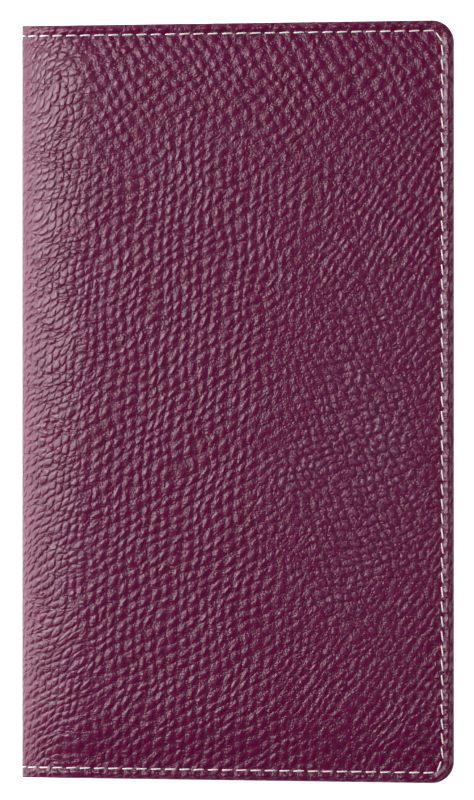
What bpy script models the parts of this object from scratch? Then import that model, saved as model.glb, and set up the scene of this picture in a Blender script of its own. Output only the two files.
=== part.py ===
"""Pocket folding calendar: a padded leather cover, sewn on three sides, round a concertina strip.

The strip has fourteen card panels. Its two end panels sit in pockets inside the cover, and the
twelve between them fan out as the cover opens. The model lies closed on its back cover: X runs
from the spine to the fore-edge, Y from tail to head and Z from the back cover to the front cover.
The origin lies under the middle of the closed cover. All sizes are in metres.
"""

import math

import bmesh
import bpy
import numpy as np
from mathutils import Matrix

# Cover outline
COVER_WIDTH = 0.0922
COVER_HEIGHT = 0.160
CORNER_RADIUS = 0.0045
BACK_SETBACK = 0.00045  # the back fore-edge ends this far short of the front one
SPINE_ROLL = 0.015  # width over which each cover rolls into the spine

# Thickness of each sheet, from the outside in
LEATHER = 0.0011
PADDING = 0.0008
BOARD = 0.0007
LINING = 0.0004
PANEL = 0.0002
POCKET = 0.0005
LAYER_GAP = 0.0001  # air between sheets that lie on each other

# Pillow of the leather over its padding
CROWN_DROP = 0.0009  # the sewn margin lies this far below the plateau
SEWN_MARGIN = 0.0028  # flat rim that carries the seam
CROWN_RUN = 0.0052  # slope from the sewn margin up to the plateau
PADDING_RIM = 0.00025  # thickness left at the feathered rim of the padding

# Inner sheets, which rise off the sewn margin to pass over the board and the end panel
TRIM_INSET = 0.0003  # lining and pocket end this far inside the leather
LIFT_START = 0.0032
LIFT_RUN = 0.0018
ROLL_LIFT_RUN = 0.0035  # the lining comes off the board over this width, towards the spine
BOARD_RADIUS = 0.0015
BOARD_TO_ROLL = 0.0012  # from the edge of the board to where the roll starts
POCKET_WIDTH = 0.055
INNER_CLEARANCE = 0.0002  # of boards and panels to the lifted sheets round them

# Seam
SEAM_INSET = 0.0021
STITCH_PITCH = 0.00307
THREAD = 0.0005
THREAD_RISE = 0.00008  # of a stitch's centre line above the leather
THREAD_DIP = 0.00010  # of the centre line below the leather at a needle hole
GROOVE_RADIUS = 0.0005
SEAM_END = 0.0004  # thread ends this far from the edge of its leather
SPINE_SEAM_SINK = 0.00036  # the seam lies this much deeper where it turns round the spine

# Spine
HINGE_HEIGHT = 0.0024  # of each hinge line above the outer face of its cover
SPINE_GAP = 0.0003  # between the leather of the spine and of each cover
LINING_GAP = 0.0009  # between the lining of the spine and of each cover

# Concertina strip
MOVING_PANELS = 12
SPINE_CLEARANCE = 0.0056  # from the spine's outer face to the folds
FOLD_GAP = 0.00006  # where two panels meet in a fold
LAST_FOLD_CLEARANCE = 0.002  # the last moving panel stops short of its fold with the end panel

# Fineness of the surfaces
ARC_STEPS = 4
CROWN_STEPS = 4
ROLL_STEPS = 8
SPINE_STEPS = 6
FOLD_STEPS = 3
WELD_DISTANCE = 0.000005

# Depth of each sheet below the outer face of its cover
PADDING_TOP = LEATHER + LAYER_GAP
BOARD_TOP = PADDING_TOP + PADDING + LAYER_GAP
LINING_TOP = BOARD_TOP + BOARD + LAYER_GAP
END_PANEL_TOP = LINING_TOP + LINING + LAYER_GAP
POCKET_TOP = END_PANEL_TOP + PANEL + LAYER_GAP
STRIP_TOP = POCKET_TOP + POCKET + LAYER_GAP
LINING_IN_MARGIN = PADDING_TOP + CROWN_DROP
POCKET_IN_MARGIN = LINING_IN_MARGIN + LINING + LAYER_GAP

# Sizes that follow
PANEL_PITCH = PANEL + LAYER_GAP
THICKNESS = 2 * STRIP_TOP + MOVING_PANELS * PANEL_PITCH - LAYER_GAP
HALF_THICKNESS = THICKNESS / 2
HALF_HEIGHT = COVER_HEIGHT / 2
SPINE_X = -COVER_WIDTH / 2
TANGENT_X = SPINE_X + SPINE_ROLL
INNER_MARGIN = LIFT_START + LIFT_RUN + INNER_CLEARANCE
FORE_X = {"back": COVER_WIDTH / 2 - BACK_SETBACK, "front": COVER_WIDTH / 2}
SPINE_FOLD_X = SPINE_X + SPINE_CLEARANCE
FORE_FOLD_X = FORE_X["back"] - INNER_MARGIN
PANEL_HALF_HEIGHT = HALF_HEIGHT - INNER_MARGIN

BURGUNDY = (0.135, 0.022, 0.058)
LINING_RED = (0.085, 0.016, 0.036)
FOAM_GREY = (0.42, 0.42, 0.44)
BOARD_BROWN = (0.33, 0.26, 0.18)
THREAD_WHITE = (0.86, 0.85, 0.82)
CARD_WHITE = (0.82, 0.80, 0.75)


def ellipse_arc(start, end):
    """Length of the spine's outer face between two roll angles, 0 on the front and pi on the back."""
    angle = np.linspace(start, end, 2001)
    run = np.diff(SPINE_ROLL * np.sin(angle))
    rise = np.diff(HALF_THICKNESS * np.cos(angle))
    return np.hypot(run, rise).sum()


# Both hinge lines lie so that the open cover is flat and keeps the length of its leather
HINGE_X = TANGENT_X + (THICKNESS - ellipse_arc(0, math.pi)) / 2 - HINGE_HEIGHT
HINGE_ANGLE = math.asin((TANGENT_X - HINGE_X) / SPINE_ROLL)
HINGE_SPEED = math.hypot(SPINE_ROLL * math.cos(HINGE_ANGLE), HALF_THICKNESS * math.sin(HINGE_ANGLE))
LEATHER_GAP_ANGLE = SPINE_GAP / 2 / HINGE_SPEED
LINING_GAP_ANGLE = LINING_GAP / 2 / HINGE_SPEED
SEAM_END_ANGLE = SEAM_END / HINGE_SPEED

parts = bpy.data.collections.new("folding_calendar")
cutters = bpy.data.collections.new("cutters")


def smoothstep(share):
    share = np.clip(share, 0, 1)
    return share * share * (3 - 2 * share)


def crown(distance):
    """Share of the pillow's height at a distance from the cover's edge."""
    return smoothstep((distance - SEWN_MARGIN) / CROWN_RUN)


def lift(distance):
    """Share by which the inner sheets have left the sewn margin."""
    return smoothstep((distance - LIFT_START) / LIFT_RUN)


def half_height(x, fore_x, inset, radius):
    """Half the height of an outline at x, with round corners at its fore-edge."""
    reach = np.clip(radius - (fore_x - inset - x), 0, radius)
    return HALF_HEIGHT - inset - radius + np.sqrt(radius**2 - reach**2)


def edge_distances(side, x, y):
    """Distance to the fore-edge, and to the head or the tail, of the leather."""
    to_fore = FORE_X[side] - x
    to_ends = half_height(x, FORE_X[side], 0, CORNER_RADIUS) - np.abs(y)
    return to_fore, to_ends


def leather_drop(side, x, y):
    to_fore, to_ends = edge_distances(side, x, y)
    return CROWN_DROP * (1 - crown(to_fore) * crown(to_ends))


def roll_point(lean, level, drop, depth):
    """X and Z on the roll, a quarter ellipse that the drop makes lower, at a depth below its face."""
    rise = HALF_THICKNESS - drop
    slope_x = lean / SPINE_ROLL
    slope_z = level / rise
    length = np.hypot(slope_x, slope_z)
    x = TANGENT_X - SPINE_ROLL * lean + depth * slope_x / length
    z = HALF_THICKNESS + rise * level - depth * slope_z / length
    return x, z


def cover_point(side, x, y, drop, depth):
    """Point of a cover at a depth below its outer face, which is flat and then rolls to the spine."""
    lean = np.clip((TANGENT_X - x) / SPINE_ROLL, 0, 1)
    flat = np.clip(x - TANGENT_X, 0, None)
    roll_x, z = roll_point(lean, np.sqrt(1 - lean**2), drop, depth)
    if side == "back":
        z = THICKNESS - z
    return np.stack(np.broadcast_arrays(roll_x + flat, y, z), axis=-1)


def spine_point(angle, y, drop, depth):
    """Point of the spine at a roll angle, 0 on the front and pi on the back, below its outer face."""
    x, z = roll_point(np.sin(angle), np.cos(angle), drop, depth)
    return np.stack(np.broadcast_arrays(x, y, z), axis=-1)


def body_empty(name, x, z, parent=None):
    """Empty on the joint axis of a body, which runs along Y."""
    empty = bpy.data.objects.new(name, None)
    empty.location = (x, 0, z)
    attach(empty, parent)
    parts.objects.link(empty)
    return empty


def attach(thing, parent):
    """Parents a thing that is placed in world coordinates and leaves it where it is."""
    if parent:
        thing.parent = parent
        thing.matrix_parent_inverse = Matrix.Translation(parent.location).inverted()


def material_for(name, colour, roughness):
    material = bpy.data.materials.new(name)
    material.use_nodes = True
    shader = material.node_tree.nodes["Principled BSDF"]
    shader.inputs["Base Color"].default_value = (*colour, 1)
    shader.inputs["Roughness"].default_value = roughness
    shader.inputs["Metallic"].default_value = 0
    return material


def add_part(name, data, body, colour, roughness):
    part = bpy.data.objects.new(name, data)
    data.materials.append(material_for(name, colour, roughness))
    attach(part, body)
    parts.objects.link(part)
    return part


def sheet_mesh(name, outer, inner):
    """Closed sheet between two grids of points that match."""
    columns, rows = outer.shape[:2]
    form = bmesh.new()
    bmesh.ops.create_grid(form, x_segments=columns - 1, y_segments=rows - 1, size=1)
    added = bmesh.ops.extrude_face_region(form, geom=form.faces[:])["geom"]
    on_outer = {item for item in added if isinstance(item, bmesh.types.BMVert)}
    for vertex in form.verts:
        column = round((vertex.co.x + 1) / 2 * (columns - 1))
        row = round((vertex.co.y + 1) / 2 * (rows - 1))
        grid = outer if vertex in on_outer else inner
        vertex.co = grid[column, row]
    bmesh.ops.recalc_face_normals(form, faces=form.faces[:])
    mesh = bpy.data.meshes.new(name)
    form.to_mesh(mesh)
    form.free()
    mesh.shade_smooth()
    mesh.set_sharp_from_angle(angle=math.radians(40))
    return mesh


def cover_grid(side, inset, radius, stations, row_insets):
    """Columns and rows over a cover: round corners at the fore-edge, then the given stations in X."""
    fore_x = FORE_X[side]
    turn = np.linspace(0, math.pi / 2, ARC_STEPS + 1)
    corner = fore_x - inset - radius * (1 - np.cos(turn))
    x = np.concatenate([corner, stations])[:, None]
    top = half_height(x, fore_x, inset, radius) - np.asarray(row_insets)[None, :]
    return x, np.concatenate([top, -top[:, ::-1]], axis=1)


def crown_distances(first):
    """Distances from the edge at which the pillow is sampled, past the first one."""
    steps = SEWN_MARGIN + CROWN_RUN * np.linspace(0, 1, CROWN_STEPS + 1)
    return steps[steps > first]


def roll_stations(end_angle):
    """X of the columns from the start of the roll to an angle on it."""
    return TANGENT_X - SPINE_ROLL * np.sin(np.linspace(0, end_angle, ROLL_STEPS + 1))


def seam_route(side, end_angle):
    """Seam of a cover in X and Y, from the spine along the head, down the fore-edge and back."""
    fore_x = FORE_X[side]
    corner_x = fore_x - CORNER_RADIUS
    corner_y = HALF_HEIGHT - CORNER_RADIUS
    radius = CORNER_RADIUS - SEAM_INSET
    head_y = HALF_HEIGHT - SEAM_INSET
    roll_x = roll_stations(end_angle)[::-1]
    turn = np.linspace(math.pi / 2, 0, 2 * ARC_STEPS + 1)
    head = np.stack([roll_x, np.full_like(roll_x, head_y)], axis=1)
    bend = np.stack([corner_x + radius * np.cos(turn), corner_y + radius * np.sin(turn)], axis=1)
    upper = np.concatenate([head, bend])
    return np.concatenate([upper, upper[::-1] * (1, -1)])


def stitch_marks(route_length):
    """Places along a seam with the thread's height there: a hole, then three points of a stitch."""
    stitches = round(route_length / STITCH_PITCH)
    share = np.array([0, 0.18, 0.5, 0.82])
    height = np.array([-THREAD_DIP, THREAD_RISE, THREAD_RISE, THREAD_RISE])
    places = (np.arange(stitches)[:, None] + share).ravel() / stitches
    return np.append(places, 1), np.append(np.tile(height, stitches), -THREAD_DIP)


def along(route, places):
    """Points at shares of a route's length."""
    steps = np.linalg.norm(np.diff(route, axis=0), axis=1)
    reached = np.concatenate([[0], np.cumsum(steps)]) / steps.sum()
    return np.stack([np.interp(places, reached, values) for values in route.T], axis=1)


def tube_curve(name, points, radius, resolution):
    curve = bpy.data.curves.new(name, "CURVE")
    curve.dimensions = "3D"
    curve.twist_mode = "Z_UP"
    curve.bevel_depth = radius
    curve.bevel_resolution = resolution
    curve.use_fill_caps = True
    spline = curve.splines.new("POLY")
    spline.points.add(len(points) - 1)
    spline.points.foreach_set("co", np.insert(points, 3, 1, axis=1).ravel())
    return curve


def cut_groove(part, points, body):
    """Presses the seam's channel into a leather with a tube along it."""
    name = part.name + "_groove"
    guide = bpy.data.objects.new(name, tube_curve(name, points, GROOVE_RADIUS, 1))
    cutters.objects.link(guide)
    bpy.context.view_layer.update()
    mesh = bpy.data.meshes.new_from_object(guide.evaluated_get(bpy.context.evaluated_depsgraph_get()))
    bpy.data.objects.remove(guide)
    form = bmesh.new()
    form.from_mesh(mesh)
    bmesh.ops.remove_doubles(form, verts=form.verts[:], dist=WELD_DISTANCE)
    bmesh.ops.recalc_face_normals(form, faces=form.faces[:])
    form.to_mesh(mesh)
    form.free()
    cutter = bpy.data.objects.new(name, mesh)
    cutter.hide_render = True
    cutter.display_type = "WIRE"
    attach(cutter, body)
    cutters.objects.link(cutter)
    groove = part.modifiers.new(name, "BOOLEAN")
    groove.operation = "DIFFERENCE"
    groove.object = cutter


def cover_leather(side, body):
    roll = roll_stations(HINGE_ANGLE - LEATHER_GAP_ANGLE)
    stations = np.concatenate([FORE_X[side] - crown_distances(CORNER_RADIUS), roll])
    x, y = cover_grid(side, 0, CORNER_RADIUS, stations, np.insert(crown_distances(-1), 0, 0))
    drop = leather_drop(side, x, y)
    outer = cover_point(side, x, y, drop, 0)
    inner = cover_point(side, x, y, drop, LEATHER)
    name = side + "_leather"
    part = add_part(name, sheet_mesh(name, outer, inner), body, BURGUNDY, 0.42)
    route = seam_route(side, HINGE_ANGLE - LEATHER_GAP_ANGLE + 2 * SEAM_END_ANGLE)
    cut_groove(part, cover_point(side, route[:, 0], route[:, 1], CROWN_DROP, 0), body)


def cover_thread(side, body):
    route = seam_route(side, HINGE_ANGLE - LEATHER_GAP_ANGLE - SEAM_END_ANGLE)
    seam = cover_point(side, route[:, 0], route[:, 1], CROWN_DROP, 0)
    places, height = stitch_marks(np.linalg.norm(np.diff(seam, axis=0), axis=1).sum())
    marks = along(route, places)
    points = cover_point(side, marks[:, 0], marks[:, 1], CROWN_DROP, -height)
    name = side + "_thread"
    add_part(name, tube_curve(name, points, THREAD / 2, 0), body, THREAD_WHITE, 0.7)


def cover_padding(side, body):
    """Foam sheet whose rim is feathered to fit under the pillow."""
    samples = np.linspace(SEWN_MARGIN, SEWN_MARGIN + CROWN_RUN, 201)
    room = PADDING - CROWN_DROP * (1 - crown(samples))
    inset = max(INNER_MARGIN, np.interp(PADDING_RIM, room, samples))
    row_insets = np.insert(crown_distances(inset + BOARD_RADIUS) - inset, 0, 0)
    stations = np.append(FORE_X[side] - crown_distances(inset + BOARD_RADIUS), TANGENT_X + BOARD_TO_ROLL)
    x, y = cover_grid(side, inset, BOARD_RADIUS, stations, row_insets)
    outer = cover_point(side, x, y, leather_drop(side, x, y), PADDING_TOP)
    inner = cover_point(side, x, y, 0, PADDING_TOP + PADDING)
    name = side + "_padding"
    add_part(name, sheet_mesh(name, outer, inner), body, FOAM_GREY, 0.9)


def cover_board(side, body):
    x, y = cover_grid(side, INNER_MARGIN, BOARD_RADIUS, [TANGENT_X + BOARD_TO_ROLL], [0])
    outer = cover_point(side, x, y, 0, BOARD_TOP)
    inner = cover_point(side, x, y, 0, BOARD_TOP + BOARD)
    name = side + "_board"
    add_part(name, sheet_mesh(name, outer, inner), body, BOARD_BROWN, 0.85)


def lift_distances():
    """Distances from the leather's edge at which the inner sheets are sampled as they rise."""
    return LIFT_START + LIFT_RUN * np.linspace(0, 1, CROWN_STEPS + 1)


def cover_lining(side, body):
    """Lining that is sewn in at the margin, passes over the board and then follows the roll."""
    radius = CORNER_RADIUS - TRIM_INSET
    rising = lift_distances()
    lifted = FORE_X[side] - rising[rising > CORNER_RADIUS]
    row_insets = np.concatenate([[0], rising - TRIM_INSET, crown_distances(rising[-1]) - TRIM_INSET])
    board_end = TANGENT_X + BOARD_TO_ROLL - INNER_CLEARANCE
    fall = board_end - ROLL_LIFT_RUN * np.linspace(0, 1, CROWN_STEPS + 1)
    roll = roll_stations(HINGE_ANGLE - LINING_GAP_ANGLE)
    stations = np.concatenate([lifted, fall, roll[roll < fall[-1]]])
    x, y = cover_grid(side, TRIM_INSET, radius, stations, row_insets)
    to_fore, to_ends = edge_distances(side, x, y)
    on_board = smoothstep((x - fall[-1]) / ROLL_LIFT_RUN)
    drop = leather_drop(side, x, y)
    depth = PADDING_TOP + (LINING_TOP - PADDING_TOP - drop) * lift(to_fore) * lift(to_ends) * on_board
    outer = cover_point(side, x, y, drop, depth)
    inner = cover_point(side, x, y, drop, depth + LINING)
    name = side + "_lining"
    add_part(name, sheet_mesh(name, outer, inner), body, LINING_RED, 0.75)


def cover_pocket(side, body):
    """Pocket flap, sewn in at head, fore-edge and tail, with its mouth towards the spine."""
    radius = CORNER_RADIUS - TRIM_INSET
    rising = lift_distances()
    stations = FORE_X[side] - np.append(rising[rising > CORNER_RADIUS], POCKET_WIDTH)
    x, y = cover_grid(side, TRIM_INSET, radius, stations, np.insert(rising - TRIM_INSET, 0, 0))
    to_fore, to_ends = edge_distances(side, x, y)
    depth = POCKET_IN_MARGIN + (POCKET_TOP - POCKET_IN_MARGIN) * lift(to_fore) * lift(to_ends)
    outer = cover_point(side, x, y, 0, depth)
    inner = cover_point(side, x, y, 0, depth + POCKET)
    name = side + "_pocket"
    add_part(name, sheet_mesh(name, outer, inner), body, BURGUNDY, 0.5)


def spine_angles(start):
    return np.linspace(start, math.pi - start, SPINE_STEPS + 1)[:, None]


def spine_sheets(body):
    """Leather and lining of the spine between the two hinge lines, drawn in at head and tail."""
    angle = spine_angles(HINGE_ANGLE + LEATHER_GAP_ANGLE)
    ends = HALF_HEIGHT - np.insert(crown_distances(-1), 0, 0)
    y = np.concatenate([ends, -ends[::-1]])[None, :]
    drop = CROWN_DROP * (1 - crown(HALF_HEIGHT - np.abs(y)))
    outer = spine_point(angle, y, drop, 0)
    inner = spine_point(angle, y, drop, LEATHER)
    leather = add_part("spine_leather", sheet_mesh("spine_leather", outer, inner), body, BURGUNDY, 0.42)
    angle = spine_angles(HINGE_ANGLE + LINING_GAP_ANGLE)
    lining_y = np.clip(y, TRIM_INSET - HALF_HEIGHT, HALF_HEIGHT - TRIM_INSET)
    outer = spine_point(angle, lining_y, drop, PADDING_TOP)
    inner = spine_point(angle, lining_y, drop, PADDING_TOP + LINING)
    add_part("spine_lining", sheet_mesh("spine_lining", outer, inner), body, LINING_RED, 0.75)
    for end, y in (("head", HALF_HEIGHT - SEAM_INSET), ("tail", SEAM_INSET - HALF_HEIGHT)):
        spine_seam("spine_thread_" + end, leather, y, body)


def spine_seam(name, leather, y, body):
    edge = HINGE_ANGLE + LEATHER_GAP_ANGLE
    route = spine_angles(edge - 2 * SEAM_END_ANGLE)[:, 0]
    cut_groove(leather, spine_point(route, y, CROWN_DROP, SPINE_SEAM_SINK), body)
    start = edge + SEAM_END_ANGLE
    places, height = stitch_marks(ellipse_arc(start, math.pi - start))
    angle = start + places * (math.pi - 2 * start)
    points = spine_point(angle, y, CROWN_DROP, SPINE_SEAM_SINK - height)
    add_part(name, tube_curve(name, points, THREAD / 2, 0), body, THREAD_WHITE, 0.7)


def strip_levels():
    """Mid-height of each panel, from the end panel in the back pocket to the one in the front."""
    moving = STRIP_TOP + PANEL / 2 + PANEL_PITCH * np.arange(MOVING_PANELS)
    end = END_PANEL_TOP + PANEL / 2
    return np.concatenate([[end], moving, [THICKNESS - end]])


def fold_bend(fold_x, inward, level, rise):
    """Quarter bend of a panel from its flat to the middle of a fold: points and upper normals."""
    radius = abs(rise)
    facing = math.copysign(1, rise)
    turn = np.linspace(0, math.pi / 2 - FOLD_GAP / 2 / radius, FOLD_STEPS + 1)
    x = fold_x + inward * radius * (1 - np.sin(turn))
    z = level + rise * (1 - np.cos(turn))
    return np.stack([x, z, facing * inward * np.sin(turn), np.cos(turn)], axis=1)


def plain_end(end_x, level):
    return np.array([[end_x, level, 0, 1]])


def panel_mesh(name, spine_end, fore_end):
    line = np.concatenate([spine_end[::-1], fore_end])[:, None, :]
    y = np.array([-PANEL_HALF_HEIGHT, PANEL_HALF_HEIGHT])[None, :]
    faces = []
    for offset in (PANEL / 2, -PANEL / 2):
        x = line[..., 0] + offset * line[..., 2]
        z = line[..., 1] + offset * line[..., 3]
        faces.append(np.stack(np.broadcast_arrays(x, y, z), axis=-1))
    return sheet_mesh(name, *faces)


def strip(back_cover, front_cover):
    """Concertina strip: folds lie in turn at the spine and at the fore-edge, from the back up."""
    levels = strip_levels()
    last = len(levels) - 1
    body = back_cover
    for index, level in enumerate(levels):
        name = f"panel_{last + 1 - index:02d}"
        at_spine = index % 2 == 0
        folds = {True: plain_end(SPINE_FOLD_X, level), False: plain_end(FORE_FOLD_X, level)}
        if index > 0:
            below = (levels[index - 1] - level) / 2
            fold_x = FORE_FOLD_X if at_spine else SPINE_FOLD_X
            folds[not at_spine] = fold_bend(fold_x, -1 if at_spine else 1, level, below)
            if index < last:
                body = body_empty(name + "_fold", fold_x, level + below, body)
            else:
                body = front_cover
        if index == last - 1:
            folds[at_spine] = plain_end(SPINE_FOLD_X + LAST_FOLD_CLEARANCE, level)
        elif index < last:
            above = (levels[index + 1] - level) / 2
            fold_x = SPINE_FOLD_X if at_spine else FORE_FOLD_X
            folds[at_spine] = fold_bend(fold_x, 1 if at_spine else -1, level, above)
        add_part(name, panel_mesh(name, folds[True], folds[False]), body, CARD_WHITE, 0.8)


def main():
    for thing in list(bpy.data.objects):
        bpy.data.objects.remove(thing)
    for collection in (parts, cutters):
        bpy.context.scene.collection.children.link(collection)
    back_cover = body_empty("back_cover", 0, 0)
    spine = body_empty("spine", HINGE_X, HINGE_HEIGHT, back_cover)
    front_cover = body_empty("front_cover", HINGE_X, THICKNESS - HINGE_HEIGHT, spine)
    for side, body in (("back", back_cover), ("front", front_cover)):
        cover_leather(side, body)
        cover_padding(side, body)
        cover_board(side, body)
        cover_lining(side, body)
        cover_pocket(side, body)
        cover_thread(side, body)
    spine_sheets(spine)
    strip(back_cover, front_cover)


main()
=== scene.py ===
"""Looks of the pocket folding calendar: pebbled leather, sewn edges, cloth lining and a printed strip.

Lengths are in millimetres until a mesh is made. X runs from the spine to the fore-edge, Y from
tail to head and Z from the back cover to the front cover. The calendar lies closed on its back.
"""

import math

import bpy
import numpy as np
from mathutils import Matrix, Vector


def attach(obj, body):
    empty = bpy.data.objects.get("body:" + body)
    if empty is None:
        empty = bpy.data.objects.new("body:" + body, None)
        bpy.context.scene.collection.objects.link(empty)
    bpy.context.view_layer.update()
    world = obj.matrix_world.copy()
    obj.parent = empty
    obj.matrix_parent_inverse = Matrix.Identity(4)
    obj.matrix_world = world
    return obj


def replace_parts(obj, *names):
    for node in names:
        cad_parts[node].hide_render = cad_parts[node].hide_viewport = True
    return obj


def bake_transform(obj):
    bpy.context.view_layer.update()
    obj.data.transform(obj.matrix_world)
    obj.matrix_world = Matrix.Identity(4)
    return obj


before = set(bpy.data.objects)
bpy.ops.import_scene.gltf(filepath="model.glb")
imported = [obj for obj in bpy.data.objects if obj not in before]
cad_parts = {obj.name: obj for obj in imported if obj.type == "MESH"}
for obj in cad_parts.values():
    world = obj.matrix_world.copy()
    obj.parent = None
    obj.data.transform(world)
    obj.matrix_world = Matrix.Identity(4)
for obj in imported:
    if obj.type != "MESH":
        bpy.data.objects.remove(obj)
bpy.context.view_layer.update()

MM = 0.001

# Cover: the frame's sizes, but its fore-edges reach a little further, with rounder corners
THICKNESS = 12.1
HALF_THICKNESS = THICKNESS / 2
HALF_HEIGHT = 80.0
SPINE_X = -46.1
SPINE_ROLL = 15.0
TANGENT_X = SPINE_X + SPINE_ROLL
FORE_X = {"back": 45.7, "front": 46.4}
CORNER_RADIUS = 4.7
SPINE_FLARE = 0.6  # the leather bulges past head and tail where it rolls round the spine
FLARE_START = 50.0  # from mid-height to where the bulge starts
FLARE_RUN = 30.0
BEND_ANGLES = (45, 82)  # of the roll, in degrees: bend_with_spine looks up where the leather turns from cover to spine between them, but nothing bends by them

# Pillow of the leather and its sewn margin
END_DROP = 1.15  # of the sewn margin at head and tail below the plateau
FORE_DROP = 0.05
SEWN_MARGIN = 2.5
CROWN_RUN = 9.0
HEAD_DROOP = 0.2  # the plateau itself sinks a little towards head and tail
TAIL_DROOP = 0.7
DROOP_RUN = 18.0
SEAM_FORE = 2.4  # from the fore-edge to its seam
SEAM_END = 2.25  # from head and tail to their seams
CHANNEL_DEPTH = 0.03
CHANNEL_WIDTH = 0.36
RIDGE_HEIGHT = 0.42  # of the margin's crest, between the seam and the edge
RIDGE_INSET = 1.2
RIDGE_WIDTH = 0.45
EDGE_ROUND = 0.45
UNDER_ROUND = 0.35
RIM_DEPTH = 2.05  # of the turned edge's underside below the plateau
TURNED_IN = 3.2  # the turned edge runs this far in under the margin

# Zone of the leather that a thumb rubs, by length of leather and Y; the tops of its pebbles also carry a
# painted highlight
RUBBED_HIGHLIT_MIDDLE = (76.0, -13.0)
RUBBED_HIGHLIT_REACH = (18.0, 34.0)

# Sheets inside the cover; depths run from the plateau of the leather, or from its roll at the spine
TRIM_INSET = 0.3  # lining and pocket end this far inside the leather
LINING = 0.4
LINING_ON_ROLL = 1.2
LINING_ON_BOARD = 2.9
MARGIN_DROP = 0.9  # the sewn margin of the sheets lies this far below the plateau
MARGIN_RISE = 5.2  # width over which the sheets leave the margin's level on the roll
LIFT_START = 3.2  # from the edge to where the sheets leave the margin
LIFT_RUN = 1.8
BOARD_END_X = TANGENT_X + 1.0
FALL_RUN = 3.5  # the lining comes off the board over this width, towards the spine
POCKET = 0.5
POCKET_IN_MARGIN = 2.6
POCKET_ON_PANEL = 3.7
POCKET_WIDTH = 55.0
HEM = 4.0  # of the pocket's mouth
HEM_SEAM = 2.4  # from the mouth to its row of stitches
MOUTH_RUN = 0.5  # the pocket's leather gets thinner over this width at its mouth
MOUTH_THINNING = 0.22
WEAVE = 0.34  # from thread to thread of the lining

# Printed strip
PANEL_LEVELS = {number: 4.4 + 0.3 * (13 - number) for number in range(2, 14)}
PANEL_FACE = 0.1  # from the middle of a panel to its faces
PRINT_LEFT = -36.8
PRINT_RIGHT = 38.4
PRINT_TOP = 64.0
ROW = 4.4
HEADING = 5.4  # height of a month's number
DAY = 2.1  # height of a day's number
RULE = 0.045  # half the width of a line under a day
HEADING_RULE = 0.12
DIGIT_GAP = 0.14  # between digits, as a share of their height
INK_CLEARANCE = 0.008  # from the card to the first ink
INK_LAYER = 0.004  # from one ink to the next
CARD_TONE = (0.63, 0.605, 0.54, 1)  # it also shows where the ink is thin
MONTH_LENGTHS = (31, 28, 31, 30, 31, 30, 31, 31, 30, 31, 30, 31)

# Fineness of the surfaces: steps along them
CELL = 0.45
EDGE_CELL = 0.3
EDGE_BAND = 9.0
SPINE_STATIONS = (0, 0.06, 0.14, 0.26, 0.42)
EDGE_STATIONS = (0, 0.04, 0.11, 0.22, 0.38, 0.58)
EDGE_NEXT = 0.82  # from the edge to the first even step
SHEET_CELL = 1.1

# Stitches
PITCH = 3.065
STITCH_GAP = 0.4
THREAD = 0.33
FORE_STITCHES = 49
CORNER_STITCH = 1.35  # the head's seam ends this far short of the fore-edge's seam
SEAM_SINK = 0.1
STITCH_SLANT = 0.07
FORE_SLANT = 0.16  # added to the slant down the fore-edge
STITCH_DIVE = 0.32  # of a stitch's ends into their holes

# Studio
FLOOR_LEVEL = -0.38
FLOOR_REACH = 4000


def smoothstep(share):
    share = np.clip(share, 0, 1)
    return share * share * (3 - 2 * share)


def bell(distance, width):
    return np.exp(-0.5 * (distance / width) ** 2)


# Meshes


def add_piece(name, points, faces, material, uv=None):
    """Mesh from arrays: points in millimetres, three or four point numbers a face, UV by point."""
    points = np.asarray(points, dtype=float).reshape(-1, 3)
    faces = np.asarray(faces, dtype=np.int32)
    mesh = bpy.data.meshes.new(name)
    mesh.vertices.add(len(points))
    mesh.vertices.foreach_set("co", (points * MM).astype(np.float32).ravel())
    mesh.loops.add(faces.size)
    mesh.loops.foreach_set("vertex_index", faces.ravel())
    mesh.polygons.add(len(faces))
    mesh.polygons.foreach_set("loop_start", np.arange(0, faces.size, faces.shape[1], dtype=np.int32))
    mesh.update(calc_edges=True)
    mesh.shade_smooth()
    if uv is not None:
        layer = mesh.uv_layers.new(name="flat")
        layer.uv.foreach_set("vector", uv.reshape(-1, 2)[faces.ravel()].astype(np.float32).ravel())
    mesh.materials.append(material)
    piece = bpy.data.objects.new(name, mesh)
    bpy.context.scene.collection.objects.link(piece)
    return piece


def grid_faces(columns, rows, first=0, closed=False):
    """Quads of a grid of points stored column by column; closed joins the last row to the first."""
    reach = rows if closed else rows - 1
    column = np.arange(columns - 1)[:, None] * rows
    row = np.arange(reach)[None, :]
    after = (row + 1) % rows
    quads = [column + row, column + rows + row, column + rows + after, column + after]
    return first + np.stack(np.broadcast_arrays(*quads), axis=-1).reshape(-1, 4)


def copied_faces(columns, rows, copies):
    """Quads of many grids of one size that are closed round and stored one after another."""
    each = grid_faces(columns, rows, closed=True)
    first = np.arange(copies) * columns * rows
    return (each[None] + first[:, None, None]).reshape(-1, 4)


# Shape of the cover


def roll_table():
    """Roll angle against length of leather from the middle of the spine: a quarter ellipse."""
    angle = np.linspace(math.pi / 2, 0, 4001)
    step = np.hypot(np.diff(SPINE_ROLL * np.sin(angle)), np.diff(HALF_THICKNESS * np.cos(angle)))
    return angle, np.concatenate([[0], np.cumsum(step)])


ROLL_ANGLE, ROLL_LENGTH = roll_table()
ROLL_END = ROLL_LENGTH[-1]


def section(along):
    """Sine and cosine of the roll, and the flat run, at a length of leather from mid-spine."""
    angle = np.interp(along, ROLL_LENGTH, ROLL_ANGLE)
    return np.sin(angle), np.cos(angle), np.clip(along - ROLL_END, 0, None)


def along_at(x):
    """Length of leather from mid-spine to the flat at x."""
    return ROLL_END + x - TANGENT_X


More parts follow.
